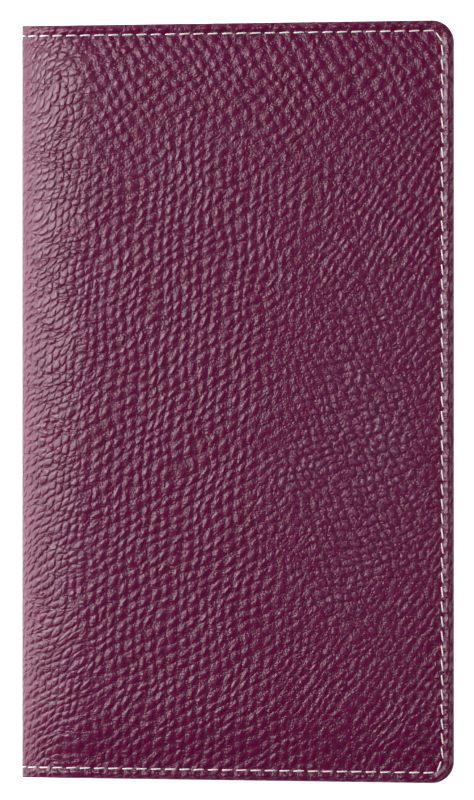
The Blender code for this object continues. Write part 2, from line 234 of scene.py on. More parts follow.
def cover_point(side, along, y, drop, depth):
    """Point of a cover: the ellipse is lowered by drop, and depth runs inwards along the normal."""
    lean, level, flat = section(along)
    rise = HALF_THICKNESS - drop
    slope_x = lean / SPINE_ROLL
    slope_z = level / rise
    length = np.hypot(slope_x, slope_z)
    x = TANGENT_X - SPINE_ROLL * lean + flat + depth * slope_x / length
    y = y + np.sign(y) * SPINE_FLARE * (1 - level) * smoothstep((np.abs(y) - FLARE_START) / FLARE_RUN)
    z = HALF_THICKNESS + rise * level - depth * slope_z / length
    if side == "back":
        z = THICKNESS - z
    return np.stack(np.broadcast_arrays(x, y, z), axis=-1)


def half_height(x, fore_x, inset=0.0):
    """Half the height of an outline at x, with round corners at its fore-edge."""
    radius = CORNER_RADIUS - inset
    reach = np.clip(radius - (fore_x - inset - x), 0, radius)
    return HALF_HEIGHT - inset - radius + np.sqrt(radius**2 - reach**2)


def edge_distances(side, along, y):
    """Distances to the fore-edge, to head or tail, and to the round outline."""
    x = TANGENT_X + along - ROLL_END
    to_fore = FORE_X[side] - x
    to_end = HALF_HEIGHT - np.abs(y)
    in_corner = (to_fore < CORNER_RADIUS) & (to_end < CORNER_RADIUS)
    round_off = CORNER_RADIUS - np.hypot(CORNER_RADIUS - to_fore, CORNER_RADIUS - to_end)
    to_edge = np.where(in_corner, round_off, np.minimum(to_fore, to_end))
    return to_fore, to_end, np.clip(to_edge, 0, None)


def pillow(distance):
    """Share of the plateau's height at a distance from the edge: a quarter sine, steepest at the seam."""
    return np.sin(math.pi / 2 * np.clip((distance - SEWN_MARGIN) / CROWN_RUN, 0, 1))


def crease(along, y, path, depth, width):
    """Valley along a bent line: a bell across it that fades at both ends."""
    path = np.asarray(path, dtype=float)
    starts = path[:-1]
    runs = np.diff(path, axis=0)
    lengths = np.linalg.norm(runs, axis=1)
    before = np.concatenate([[0], np.cumsum(lengths)[:-1]])
    nearest = np.full(np.shape(along), 1e9)
    place = np.zeros(np.shape(along))
    for start, run, length, begun in zip(starts, runs, lengths, before):
        share = np.clip(((along - start[0]) * run[0] + (y - start[1]) * run[1]) / length**2, 0, 1)
        distance = np.hypot(along - start[0] - share * run[0], y - start[1] - share * run[1])
        closer = distance < nearest
        nearest = np.where(closer, distance, nearest)
        place = np.where(closer, begun + share * length, place)
    fade = np.sin(math.pi * np.clip(place / lengths.sum(), 0.02, 0.98)) ** 0.7
    return depth * fade * bell(nearest, width)


# Creases of the spine's ends: places by length of leather and Y, depth and width
SPINE_CREASES = [
    ([(3.5, 73.6), (6, 73), (8.8, 71.9), (11, 70.6), (12.2, 68.4), (14.4, 66.8), (17, 66.7)], 0.16, 0.45),
    ([(3.6, 68.3), (7.2, 69.8), (9.6, 70.3)], 0.12, 0.42),
    ([(8, 74), (14, 73.2), (22, 74)], 0.1, 0.8),
    ([(1.5, -68.2), (4.5, -67.2), (9, -65)], 0.12, 0.45),
    ([(1, -72.6), (5, -71.2), (10, -69.4), (15, -69)], 0.14, 0.45),
    ([(2, -75), (8, -74.2), (16, -74.4), (24, -75)], 0.1, 0.8),
]


def pillow_drop(side, along, y):
    """Height of the leather below its plateau, from the padding alone."""
    to_fore, to_end, _ = edge_distances(side, along, y)
    drop = END_DROP * (1 - pillow(to_end)) + FORE_DROP * (1 - pillow(to_fore)) * pillow(to_end)
    droop = np.where(y > 0, HEAD_DROOP, TAIL_DROOP)
    return drop + droop * (1 - smoothstep(to_end / DROOP_RUN)) * pillow(to_end)


def face_drop(side, along, y):
    """Height of the leather below its plateau: pillow, seam channel, margin crest, round edge and creases."""
    to_fore, to_end, to_edge = edge_distances(side, along, y)
    out_of_reach = 9
    from_fore_seam = np.abs(to_fore - SEAM_FORE) + out_of_reach * (to_end < SEAM_END)
    from_end_seam = np.abs(to_end - SEAM_END) + out_of_reach * (to_fore < SEAM_FORE)
    drop = pillow_drop(side, along, y)
    drop = drop + CHANNEL_DEPTH * bell(np.minimum(from_fore_seam, from_end_seam), CHANNEL_WIDTH)
    drop = drop - RIDGE_HEIGHT * bell(to_edge - RIDGE_INSET, RIDGE_WIDTH)
    near = np.clip(EDGE_ROUND - to_edge, 0, EDGE_ROUND)
    drop = drop + EDGE_ROUND - np.sqrt(EDGE_ROUND**2 - near**2)
    for path, depth, width in SPINE_CREASES:
        drop = drop + crease(along, y, path, depth, width)
    return drop


def leather_grid(side):
    """Length of leather and Y of the grid: fine at mid-spine and at the edges, even in between."""
    fore_x = FORE_X[side]
    start = np.array(SPINE_STATIONS)
    corner_start = along_at(fore_x - CORNER_RADIUS)
    count = round((corner_start - start[-1]) / CELL)
    even = np.linspace(start[-1], corner_start, count + 1)
    turn = np.linspace(0, math.pi / 2, 23)
    corner = corner_start + CORNER_RADIUS * np.sin(turn[1:])
    along = np.concatenate([start[:-1], even, corner])
    band = np.concatenate([EDGE_STATIONS, np.arange(EDGE_NEXT, EDGE_BAND, EDGE_CELL)])
    inner = np.linspace(1, -1, round(2 * (HALF_HEIGHT - EDGE_BAND) / CELL) + 1)
    top = half_height(TANGENT_X + along - ROLL_END, fore_x)[:, None]
    head = top - band[None, :]
    middle = (top - EDGE_BAND) * inner[None, :]
    return along[:, None], np.concatenate([head, middle, -head[:, ::-1]], axis=1)


def edge_rings(side, along, y):
    """Rim of the leather: its outline is carried round the turned edge and in under the margin."""
    fore_x = FORE_X[side]
    columns = len(along)
    head = np.stack([along[:, 0], y[:, 0]], axis=1)
    fore = np.stack([np.full(y.shape[1] - 2, along[-1, 0]), y[-1, 1:-1]], axis=1)
    tail = np.stack([along[::-1, 0], y[::-1, -1]], axis=1)
    outline = np.concatenate([head, fore, tail])
    centre_a = along_at(fore_x - CORNER_RADIUS)
    centre_y = HALF_HEIGHT - CORNER_RADIUS
    out_a = np.clip(outline[:, 0] - centre_a, 0, None)
    out_y = np.sign(outline[:, 1]) * np.clip(np.abs(outline[:, 1]) - centre_y, 0, None)
    length = np.maximum(np.hypot(out_a, out_y), 1e-9)
    inward = -np.stack([out_a, out_y], axis=1) / length[:, None]
    turn = np.linspace(0, math.pi / 2, 6)[1:]
    steps = [(0.0, 0.0)] + [(UNDER_ROUND * (1 - math.cos(t)), UNDER_ROUND * math.sin(t)) for t in turn]
    steps += [(TURNED_IN, UNDER_ROUND)]
    drop = face_drop(side, outline[:, 0], outline[:, 1])
    wall = RIM_DEPTH - UNDER_ROUND - drop
    rings = []
    for inset, depth in steps:
        moved = outline + inset * inward
        rings.append(cover_point(side, moved[:, 0], moved[:, 1], drop, wall + depth))
    numbers = np.arange(columns * y.shape[1]).reshape(columns, -1)
    rim = np.concatenate([numbers[:, 0], numbers[-1, 1:-1], numbers[::-1, -1]])
    return rings, rim, outline


def leather_skin(side, material):
    """Outer leather of a cover and its half of the spine, with the cut edge."""
    along, y = leather_grid(side)
    along_grid = np.broadcast_to(along, y.shape)
    outer = cover_point(side, along_grid, y, face_drop(side, along_grid, y), 0)
    rings, rim, outline = edge_rings(side, along, y)
    faces = [grid_faces(*y.shape)]
    points = [outer.reshape(-1, 3)]
    sign = 1 if side == "front" else -1
    flat = [np.stack([sign * along_grid, y], axis=-1).reshape(-1, 2)]
    first = outer.shape[0] * outer.shape[1]
    before = rim
    for ring in rings:
        numbers = first + np.arange(len(ring))
        quads = np.stack([before[:-1], numbers[:-1], numbers[1:], before[1:]], axis=1)
        faces.append(quads)
        points.append(ring)
        flat.append(outline * (sign, 1))
        before = numbers
        first += len(ring)
    faces = np.concatenate(faces)
    if side == "front":
        faces = faces[:, ::-1]
    return add_piece(side + "_skin", np.concatenate(points), faces, material, np.concatenate(flat))


def bend_with_spine(piece, side):
    """Bakes the piece's transform into its mesh; where the leather near the spine turns from its cover to the
    spine is looked up on the roll, but nothing is bent by it.
    """
    along = np.interp(np.radians(BEND_ANGLES), ROLL_ANGLE[::-1], ROLL_LENGTH[::-1])
    start, end = cover_point(side, along, 0, 0, 0)
    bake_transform(piece)


# Seams


def seam_holes(side):
    """Needle holes of a seam as length of leather and Y.

    They run along the head, across the corner in one stitch, down the fore-edge and back at the tail.
    """
    fore_x = FORE_X[side]
    fore_along = along_at(fore_x - SEAM_FORE)
    head_y = HALF_HEIGHT - SEAM_END
    fore_y = np.linspace(FORE_STITCHES / 2, -FORE_STITCHES / 2, FORE_STITCHES + 1) * PITCH
    corner = fore_along - CORNER_STITCH
    head = np.linspace(0, corner, round(corner / PITCH) + 1)
    upper = np.stack([head, np.full_like(head, head_y)], axis=1)
    lower = upper[::-1] * (1, -1)
    fore = np.stack([np.full_like(fore_y, fore_along), fore_y], axis=1)
    return np.concatenate([upper, fore, lower])


def on_leather(side, along, y, above):
    return cover_point(side, along, y, pillow_drop(side, along, y) + SEAM_SINK, -above)


def on_inner_margin(side, along, y, above):
    """Place over the lining's margin, or over the pocket's from its mouth on."""
    on_pocket = smoothstep((along - along_at(FORE_X[side] - POCKET_WIDTH)) / 0.4)
    lining = LINING_ON_ROLL + LINING
    flap = POCKET_IN_MARGIN + POCKET - MARGIN_DROP
    return cover_point(side, along, y, MARGIN_DROP, lining + on_pocket * (flap - lining) + above)


def stitches(name, side, holes, lift, material, place_on):
    """Row of stitches: each is a round thread from one hole to the next, arched over what it is sewn to.

    Along a stitch the height is lift * (1 - |2t - 1|^6), less a dive at both ends; across it the
    section is a circle. Each end is set off to one side, so the stitches slant a little.
    """
    starts = holes[:-1]
    runs = np.diff(holes, axis=0)
    length = np.linalg.norm(runs, axis=1, keepdims=True)
    ahead = runs / length
    aside = np.stack([-ahead[:, 1], ahead[:, 0]], axis=1)
    upright = np.abs(ahead[:, 1:2])
    slant = STITCH_SLANT + FORE_SLANT * upright**2
    share = np.array([0, 0.04, 0.12, 0.3, 0.5, 0.7, 0.88, 0.96, 1])
    gap = 0.5 * STITCH_GAP / length
    place = gap + (1 - 2 * gap) * share[None, :]
    offset = slant * (2 * place - 1)
    line = starts[:, None, :] + place[..., None] * runs[:, None, :] + offset[..., None] * aside[:, None, :]
    arch = 1 - np.abs(2 * share - 1) ** 6
    height = lift * arch - STITCH_DIVE * (1 - arch)
    turn = np.linspace(0, 2 * math.pi, 7)[:-1]
    radius = THREAD / 2 * (0.62 + 0.38 * arch)
    across = radius[None, :, None] * np.cos(turn)
    above = height[None, :, None] + radius[None, :, None] * np.sin(turn)
    spot = line[:, :, None, :] + across[..., None] * aside[:, None, None, :]
    along = np.maximum(spot[..., 0], 0.0)
    points = place_on(side, along, spot[..., 1], np.broadcast_to(above, along.shape))
    faces = copied_faces(len(share), len(turn), len(starts))
    if (side == "back") == (place_on is on_leather):
        faces = faces[:, ::-1]
    each = np.broadcast_arrays(share[:, None] * 2.5, turn[None, :] / (2 * math.pi))
    uv = np.broadcast_to(np.stack(each, axis=-1), points.shape[:3] + (2,))
    return add_piece(name, points, faces, material, uv)


def needle_holes(name, side, holes, material):
    """Dark dimples at the ends of the stitches: small discs on the leather with a sunk middle."""
    turn = np.linspace(0, 2 * math.pi, 9)[:-1]
    radius = np.array([0.0, 0.2, 0.34])
    sink = np.array([0.06, 0.03, -0.015])
    along = np.maximum(holes[:, 0][:, None, None] + radius[None, :, None] * np.cos(turn), 0)
    y = holes[:, 1][:, None, None] + radius[None, :, None] * np.sin(turn)
    depth = np.broadcast_to(sink[None, :, None], along.shape)
    points = cover_point(side, along, y, face_drop(side, along, y), depth)
    faces = copied_faces(len(radius), len(turn), len(holes))
    if side == "back":
        faces = faces[:, ::-1]
    return add_piece(name, points, faces, material)


# Sheets inside the cover


def lift(distance):
    """Share by which the inner sheets have left the sewn margin."""
    return smoothstep((distance - LIFT_START) / LIFT_RUN)


def sheet_grid(side, start):
    """Length of leather and Y over a sheet that ends short of the leather: fine where it rises."""
    fore_x = FORE_X[side]
    fore = along_at(fore_x - TRIM_INSET)
    radius = CORNER_RADIUS - TRIM_INSET
    rising = np.linspace(LIFT_START, LIFT_START + LIFT_RUN, 9)
    lifted = along_at(fore_x - rising[rising > CORNER_RADIUS])[::-1]
    even = np.linspace(start, lifted[0], round((lifted[0] - start) / SHEET_CELL) + 1)
    corner = fore - radius + radius * np.sin(np.linspace(0, math.pi / 2, 13))
    along = np.concatenate([even[:-1], lifted, corner])
    band = np.concatenate([[0, 0.7, 1.5, 2.3], rising - TRIM_INSET, [5.6, 6.6, 7.8]])
    top = half_height(TANGENT_X + along - ROLL_END, fore_x, TRIM_INSET)[:, None]
    inner = np.linspace(1, -1, 90)
    head = top - band[None, :]
    middle = (top - band[-1] - 1.2) * inner[None, :]
    y = np.concatenate([head, middle, -head[:, ::-1]], axis=1)
    return np.broadcast_to(along[:, None], y.shape), y


def closed_sheet(name, side, outer, inner, material, flat):
    """Thin closed sheet between two grids that match: both faces and a band round the edge."""
    columns, rows = outer.shape[:2]
    count = columns * rows
    numbers = np.arange(count).reshape(columns, rows)
    rim = np.concatenate([numbers[:-1, 0], numbers[-1, :-1], numbers[:0:-1, -1], numbers[0, :0:-1]])
    after = np.roll(rim, -1)
    band = np.stack([rim, rim + count, after + count, after], axis=1)
    faces = np.concatenate([grid_faces(columns, rows), grid_faces(columns, rows, count)[:, ::-1], band])
    if side == "front":
        faces = faces[:, ::-1]
    points = np.concatenate([outer.reshape(-1, 3), inner.reshape(-1, 3)])
    return add_piece(name, points, faces, material, np.tile(flat.reshape(-1, 2), (2, 1)))


def lining_sheet(side, material):
    """Lining from the fore-edge to mid-spine.

    It is sewn in at the margin, rises by smooth steps to pass over the board and then follows
    the roll of the leather at an even depth.
    """
    along, y = sheet_grid(side, 0.0)
    to_fore, to_end, _ = edge_distances(side, along, y)
    off_fore = smoothstep((to_fore - SEWN_MARGIN) / MARGIN_RISE)
    off_ends = smoothstep((to_end - SEWN_MARGIN) / MARGIN_RISE)
    drop = MARGIN_DROP * (1 - off_fore * off_ends)
    on_board = smoothstep((TANGENT_X + along - ROLL_END - BOARD_END_X + FALL_RUN) / FALL_RUN)
    climb = LINING_ON_BOARD - LINING_ON_ROLL - drop
    depth = LINING_ON_ROLL + climb * lift(to_fore) * lift(to_end) * on_board
    outer = cover_point(side, along, y, drop, depth)
    inner = cover_point(side, along, y, drop, depth + LINING)
    flat = np.stack([along, y], axis=-1)
    piece = closed_sheet(side + "_lining_cloth", side, outer, inner, material, flat)
    bend_with_spine(piece, side)
    return piece


def pocket_sheet(side, material):
    """Pocket flap of thin leather, sewn in at three sides and raised over the end panel.

    Its mouth faces the spine, where both faces close in by a parabola.
    """
    along, y = sheet_grid(side, along_at(FORE_X[side] - POCKET_WIDTH))
    to_fore, to_end, _ = edge_distances(side, along, y)
    depth = POCKET_IN_MARGIN + (POCKET_ON_PANEL - POCKET_IN_MARGIN) * lift(to_fore) * lift(to_end)
    from_mouth = along - along[0, 0]
    thin = MOUTH_THINNING * np.clip(1 - from_mouth / MOUTH_RUN, 0, 1) ** 2
    outer = cover_point(side, along, y, 0, depth + thin * 0.5)
    inner = cover_point(side, along, y, 0, depth + POCKET - thin)
    flat = np.stack([from_mouth, y], axis=-1)
    piece = closed_sheet(side + "_pocket_flap", side, outer, inner, material, flat)
    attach(piece, side + "_cover")
    return piece


# Print of the strip


def digit_shapes():
    """Points and triangles of the ten digits from the built-in type, one unit high, on the base line."""
    shapes = []
    for digit in "0123456789":
        curve = bpy.data.curves.new("digit", "FONT")
        curve.body = digit
        curve.resolution_u = 2
        word = bpy.data.objects.new("digit", curve)
        bpy.context.scene.collection.objects.link(word)
        bpy.context.view_layer.update()
        final = word.evaluated_get(bpy.context.evaluated_depsgraph_get())
        mesh = bpy.data.meshes.new_from_object(final)
        mesh.calc_loop_triangles()
        points = np.empty(len(mesh.vertices) * 3)
        mesh.vertices.foreach_get("co", points)
        triangles = np.empty(len(mesh.loop_triangles) * 3, dtype=np.int32)
        mesh.loop_triangles.foreach_get("vertices", triangles)
        points = points.reshape(-1, 3)[:, :2]
        points = points - (points[:, 0].min(), 0)
        type_height = 0.7
        shapes.append((points / type_height, triangles.reshape(-1, 3)))
        bpy.data.objects.remove(word)
        bpy.data.curves.remove(curve)
        bpy.data.meshes.remove(mesh)
    return shapes


def number_shape(shapes, number, x, y, height):
    """Points and triangles of a number whose right end is at x, on a base line at y."""
    points = []
    triangles = []
    first = 0
    right = x
    for digit in reversed(str(number)):
        outline, corners = shapes[int(digit)]
        left = right - outline[:, 0].max() * height
        points.append(outline * height + (left, y))
        triangles.append(corners + first)
        first += len(outline)
        right = left - DIGIT_GAP * height
    return np.concatenate(points), np.concatenate(triangles)


def bar_shape(x0, x1, y0, y1):
    return np.array([(x0, y0), (x1, y0), (x1, y1), (x0, y1)]), np.array([(0, 1, 2), (0, 2, 3)])


def month_shapes(shapes, month, first_weekday):
    """Shapes of one month with their ink: a heading and a row a day, weekends tinted, Sundays in red."""
    tint, rule, ink, red = range(4)
    found = [(number_shape(shapes, month, PRINT_LEFT + 9.5, PRINT_TOP + 2.2, HEADING), ink)]
    top_rule = bar_shape(PRINT_LEFT, PRINT_RIGHT, PRINT_TOP - HEADING_RULE, PRINT_TOP + HEADING_RULE)
    found.append((top_rule, red))
    for day in range(1, MONTH_LENGTHS[month - 1] + 1):
        weekday = (first_weekday + day - 1) % 7
        foot = PRINT_TOP - ROW * day
        if weekday >= 5:
            found.append((bar_shape(PRINT_LEFT, PRINT_RIGHT, foot + 0.05, foot + ROW - 0.05), tint))
        found.append((bar_shape(PRINT_LEFT, PRINT_RIGHT, foot - RULE, foot + RULE), rule))
        colour = red if weekday == 6 else ink
        found.append((number_shape(shapes, day, PRINT_LEFT + 5.2, foot + 1.15, DAY), colour))
    return found


def first_weekdays():
    """Weekday of the first of each month over two years, from a year that starts on a Monday."""
    days = np.concatenate([[0], np.cumsum(MONTH_LENGTHS * 2)[:-1]])
    return days % 7


def panel_print(number, material, shapes, weekdays):
    """Both printed faces of a panel, in ink layers just clear of the card; the lower face is mirrored."""
    level = PANEL_LEVELS[number]
    points = []
    triangles = []
    inks = []
    first = 0
    for facing in (1, -1):
        this_year = (facing == 1) == (number % 2 == 0)
        order = number - 2 if this_year else 12 + 13 - number
        for (outline, corners), ink in month_shapes(shapes, order % 12 + 1, weekdays[order]):
            height = level + facing * (PANEL_FACE + INK_CLEARANCE + INK_LAYER * ink)
            points.append(np.insert(outline * (facing, 1), 2, height, axis=1))
            triangles.append((corners if facing == 1 else corners[:, ::-1]) + first)
            inks.append(np.full(len(outline), ink))
            first += len(outline)
    inks = np.concatenate(inks)
    uv = np.stack([inks, np.zeros_like(inks)], axis=1)
    name = f"panel_{number:02d}_print"
    piece = add_piece(name, np.concatenate(points), np.concatenate(triangles), material, uv)
    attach(piece, f"strip_{number:02d}")
    return piece


# Materials


def add_node(tree, kind, inputs=None, **settings):
    node = tree.nodes.new("ShaderNode" + kind)
    for name, value in settings.items():
        setattr(node, name, value)
    for socket, value in (inputs or {}).items():
        if isinstance(value, bpy.types.NodeSocket):
            tree.links.new(value, node.inputs[socket])
        else:
            node.inputs[socket].default_value = value
    return node


def calc(tree, operation, first, second=0.0, third=0.0):
    return add_node(tree, "Math", {0: first, 1: second, 2: third}, operation=operation).outputs[0]


def vector_calc(tree, operation, first, second, third=(0, 0, 0)):
    return add_node(tree, "VectorMath", {0: first, 1: second, 2: third}, operation=operation).outputs[0]


def mix_colours(tree, share, first, second):
    return add_node(tree, "Mix", {0: share, 6: first, 7: second}, data_type="RGBA").outputs[2]


def blend_values(tree, share, first, second):
    return add_node(tree, "Mix", {0: share, 2: first, 3: second}, data_type="FLOAT").outputs[0]


def ramp(tree, value, low, high, to_low=0.0, to_high=1.0):
    """Smooth step of a value between two limits."""
    sockets = {0: value, 1: low, 2: high, 3: to_low, 4: to_high}
    return add_node(tree, "MapRange", sockets, interpolation_type="SMOOTHSTEP").outputs[0]


def noise(tree, place, scale, detail=2.0, roughness=0.5, output="Fac"):
    sockets = {"Vector": place, "Scale": scale, "Detail": detail, "Roughness": roughness}
    return add_node(tree, "TexNoise", sockets).outputs[output]


def flat_place(tree):
    """Place in the flat map of a piece."""
    return add_node(tree, "UVMap", uv_map="flat").outputs[0]


def object_place(tree):
    return add_node(tree, "TexCoord").outputs["Object"]


def set_bump(tree, shader, height, strength, distance):
    bump = add_node(tree, "Bump", {"Strength": strength, "Distance": distance, "Height": height})
    tree.links.new(bump.outputs[0], shader.inputs["Normal"])


def new_material(name, roughness):
    material = bpy.data.materials.new(name)
    material.use_nodes = True
    tree = material.node_tree
    shader = tree.nodes["Principled BSDF"]
    shader.inputs["Roughness"].default_value = roughness
    return material, tree, shader


def net_place(tree, place, first_step, second_step):
    """Place counted in the two steps, in millimetres, that lead from a pebble to its neighbours."""
    counts = []
    for row in np.linalg.inv(np.array([first_step, second_step]).T):
        count = add_node(tree, "VectorMath", {0: place, 1: (*row, 0)}, operation="DOT_PRODUCT")
        counts.append(count.outputs["Value"])
    return add_node(tree, "CombineXYZ", {0: counts[0], 1: counts[1]}).outputs[0]


def net_distance(tree, place, first_step, second_step, wander, smooth):
    """Distance to the nearest pebble's middle on a slanted net, counted in steps of the net."""
    cells = add_node(
        tree,
        "TexVoronoi",
        {
            "Vector": net_place(tree, place, first_step, second_step),
            "Scale": 1.0,
            "Randomness": wander,
            "Smoothness": smooth,
        },
        voronoi_dimensions="2D",
        feature="SMOOTH_F1",
    )
    return cells.outputs["Distance"]


def flat_pebbles(tree, place, first_step, second_step, wander):
    """Pebbles with flat tops: height falls by a smooth step between two distances from the middle."""
    distance = net_distance(tree, place, first_step, second_step, wander, 0.05)
    return ramp(tree, distance, 0.2, 0.65, 1.0, 0.0)


def round_pebbles(tree, place, first_step, second_step, wander):
    """Pebbles as cones with a round top: height is 1 - sqrt(distance^2 + rounding^2)."""
    distance = net_distance(tree, place, first_step, second_step, wander, 0.3)
    rounded = calc(tree, "SQRT", calc(tree, "MULTIPLY_ADD", distance, distance, 0.33**2))
    return calc(tree, "SUBTRACT", 1.0, rounded)


def wandering(tree, flat, scale, reach):
    """Place shifted by noise, in its own plane."""
    shift = vector_calc(tree, "SUBTRACT", noise(tree, flat, scale, output="Color"), (0.5, 0.5, 0.5))
    return vector_calc(tree, "MULTIPLY_ADD", shift, (reach, reach, 0), flat)


def long_creases(tree, place, along):
    """Wavy creases across the spine: where a noise that is drawn out along u passes its middle value."""
    waves = noise(tree, vector_calc(tree, "MULTIPLY", place, (0.05, 0.2, 0)), 1.0, 2.0)
    far = calc(tree, "ABSOLUTE", calc(tree, "SUBTRACT", waves, 0.5))
    near_line = ramp(tree, far, 0.0, 0.02, 1.0, 0.0)
    near_spine = ramp(tree, along, 12, 24, 1.0, 0.0)
    return calc(tree, "MULTIPLY", near_line, near_spine)


def rubbed_zone(tree, along, y, patch):
    """Share of the rubbed zone where a thumb holds the cover, which also carries a painted highlight on the
    pebble tops: an ellipse with a soft, uneven edge.
    """
    across = calc(tree, "DIVIDE", calc(tree, "SUBTRACT", along, RUBBED_HIGHLIT_MIDDLE[0]), RUBBED_HIGHLIT_REACH[0])
    upward = calc(tree, "DIVIDE", calc(tree, "SUBTRACT", y, RUBBED_HIGHLIT_MIDDLE[1]), RUBBED_HIGHLIT_REACH[1])
    far = calc(tree, "MULTIPLY_ADD", across, across, calc(tree, "MULTIPLY", upward, upward))
    return ramp(tree, calc(tree, "MULTIPLY_ADD", patch, 3.0, far), -0.5, 2.3, 1.0, 0.0)


def pebbled_leather():
    """Burgundy leather: dark glossy pebbles in a net of rough creases that catch the light.

    The pebbles lie in flat rows across the spine and are drawn out along a slant on the cover. They
    lie at other slants near the head and near the fore-edge, and are round where a thumb holds the
    cover; there their tops carry a painted highlight, a pale lilac sheen that stands in for a reflection.
    """
    material, tree, shader = new_material("pebbled_leather", 0.35)
    flat = flat_place(tree)
    axes = add_node(tree, "SeparateXYZ", {0: flat})
    along = calc(tree, "ABSOLUTE", axes.outputs[0])
    place = wandering(tree, wandering(tree, flat, 0.08, 5.0), 0.5, 0.9)
    place = wandering(tree, place, 1.4, 0.25)
    in_rows = flat_pebbles(tree, place, (1.95, 0.9), (-0.35, -1.85), 0.35)
    drawn = round_pebbles(tree, place, (-0.1, -2.5), (2.25, 1.25), 0.25)
    slanted = round_pebbles(tree, place, (1.42, 2.0), (1.36, -0.98), 0.4)
    crossed = round_pebbles(tree, place, (1.35, -2.1), (1.85, 1.5), 0.3)
    dotted = round_pebbles(tree, place, (0.7, -1.75), (1.85, 0.55), 0.5)
    patch = calc(tree, "SUBTRACT", noise(tree, flat, 0.06, 3.0), 0.5)
    past_spine = ramp(tree, calc(tree, "MULTIPLY_ADD", patch, 24.0, along), 9, 24)
    near_fore = ramp(tree, calc(tree, "MULTIPLY_ADD", patch, 60.0, along), 52, 76)
    near_head = ramp(tree, calc(tree, "MULTIPLY_ADD", patch, 40.0, axes.outputs[1]), 44, 66)
    rubbed_and_highlit = rubbed_zone(tree, along, axes.outputs[1], patch)
    on_cover = blend_values(tree, near_head, blend_values(tree, near_fore, drawn, slanted), crossed)
    on_cover = blend_values(tree, rubbed_and_highlit, on_cover, dotted)
    top = blend_values(tree, past_spine, in_rows, ramp(tree, on_cover, 0.35, 0.65))
    dome = blend_values(
        tree, past_spine, calc(tree, "MULTIPLY", in_rows, 0.32), calc(tree, "MULTIPLY", on_cover, 1.35)
    )
    wrinkles = noise(tree, wandering(tree, flat, 0.9, 0.8), 1.1, 2.0, 0.6)
    pores = noise(tree, flat, 1.8, 1.0, 0.6)
    flecks = calc(tree, "MULTIPLY_ADD", pores, 0.5, calc(tree, "MULTIPLY_ADD", wrinkles, 0.35, -0.375))
    in_crease = calc(tree, "SUBTRACT", 1.2, top)
    in_crease = calc(tree, "MULTIPLY", in_crease, ramp(tree, past_spine, 0, 1, 0.35, 1.0))
    height = calc(tree, "MULTIPLY_ADD", flecks, in_crease, dome)
    height = calc(tree, "MULTIPLY_ADD", long_creases(tree, place, along), -0.2, height)
    set_bump(tree, shader, height, 1.0, 0.00055)
    shade = noise(tree, flat, 0.35, 3.0)
    dark = (0.102, 0.0008, 0.036, 1)
    light = (0.122, 0.0018, 0.046, 1)
    body = mix_colours(tree, ramp(tree, shade, 0.35, 0.65), dark, light)
    colour = mix_colours(tree, top, (0.102, 0.0012, 0.039, 1), body)
    # Painted highlight: pale lilac tops in the rubbed zone stand in for a reflection of the light
    painted_highlight = calc(tree, "MULTIPLY", rubbed_and_highlit, ramp(tree, on_cover, 0.53, 0.66, 0.0, 0.38))
    colour = mix_colours(tree, painted_highlight, colour, (0.18, 0.12, 0.19, 1))
    tree.links.new(colour, shader.inputs["Base Color"])
    tree.links.new(ramp(tree, top, 0, 1, 0.4, 0.3), shader.inputs["Roughness"])
    shader.inputs["Specular IOR Level"].default_value = 0.54
    shader.inputs["Specular Tint"].default_value = (1.0, 0.95, 0.99, 1)
    return material


def white_thread():
    """Waxed white sewing thread: two plies laid in a slant."""
    material, tree, shader = new_material("white_thread", 0.6)
    flat = flat_place(tree)
    parts = add_node(tree, "SeparateXYZ", {0: flat})
    turn = calc(tree, "MULTIPLY_ADD", parts.outputs[0], 2.2, parts.outputs[1])
    ply = calc(tree, "ABSOLUTE", calc(tree, "SINE", calc(tree, "MULTIPLY", turn, 2 * math.pi)))
    set_bump(tree, shader, ply, 0.6, 0.00006)
    # Painted shade: the thread is darker in the grooves between its plies
    colour = mix_colours(tree, ramp(tree, ply, 0.0, 0.5), (0.55, 0.54, 0.5, 1), (0.9, 0.89, 0.86, 1))
    tree.links.new(colour, shader.inputs["Base Color"])
    shader.inputs["Sheen Weight"].default_value = 0.2
    return material


def lining_cloth():
    """Dark burgundy cloth in plain weave: round threads that pass over and under by turns."""
    material, tree, shader = new_material("lining_cloth", 0.75)
    flat = flat_place(tree)
    place = wandering(tree, flat, 0.4, 0.12)
    count = add_node(tree, "VectorMath", {0: place, "Scale": 1 / WEAVE}, operation="SCALE")
    axes = add_node(tree, "SeparateXYZ", {0: count.outputs[0]})
    turns = calc(tree, "ADD", calc(tree, "FLOOR", axes.outputs[0]), calc(tree, "FLOOR", axes.outputs[1]))
    over = calc(tree, "FLOORED_MODULO", turns, 2.0)
    warp = ramp(tree, calc(tree, "PINGPONG", axes.outputs[0], 0.5), 0.0, 0.5)
    weft = ramp(tree, calc(tree, "PINGPONG", axes.outputs[1], 0.5), 0.0, 0.5)
    thread = blend_values(tree, over, warp, weft)
    set_bump(tree, shader, thread, 0.8, 0.00007)
    slubs = noise(tree, vector_calc(tree, "MULTIPLY", flat, (0.5, 4.0, 0)), 1.0, 3.0)
    body = mix_colours(tree, ramp(tree, slubs, 0.3, 0.7), (0.052, 0.006, 0.02, 1), (0.09, 0.012, 0.034, 1))
    tone = mix_colours(tree, over, body, (0.075, 0.009, 0.028, 1))
    # Painted shade: the gaps between the threads are darkened almost to black
    colour = mix_colours(tree, ramp(tree, thread, 0.0, 0.6), (0.018, 0.002, 0.007, 1), tone)
    tree.links.new(colour, shader.inputs["Base Color"])
    shader.inputs["Sheen Weight"].default_value = 0.25
    return material


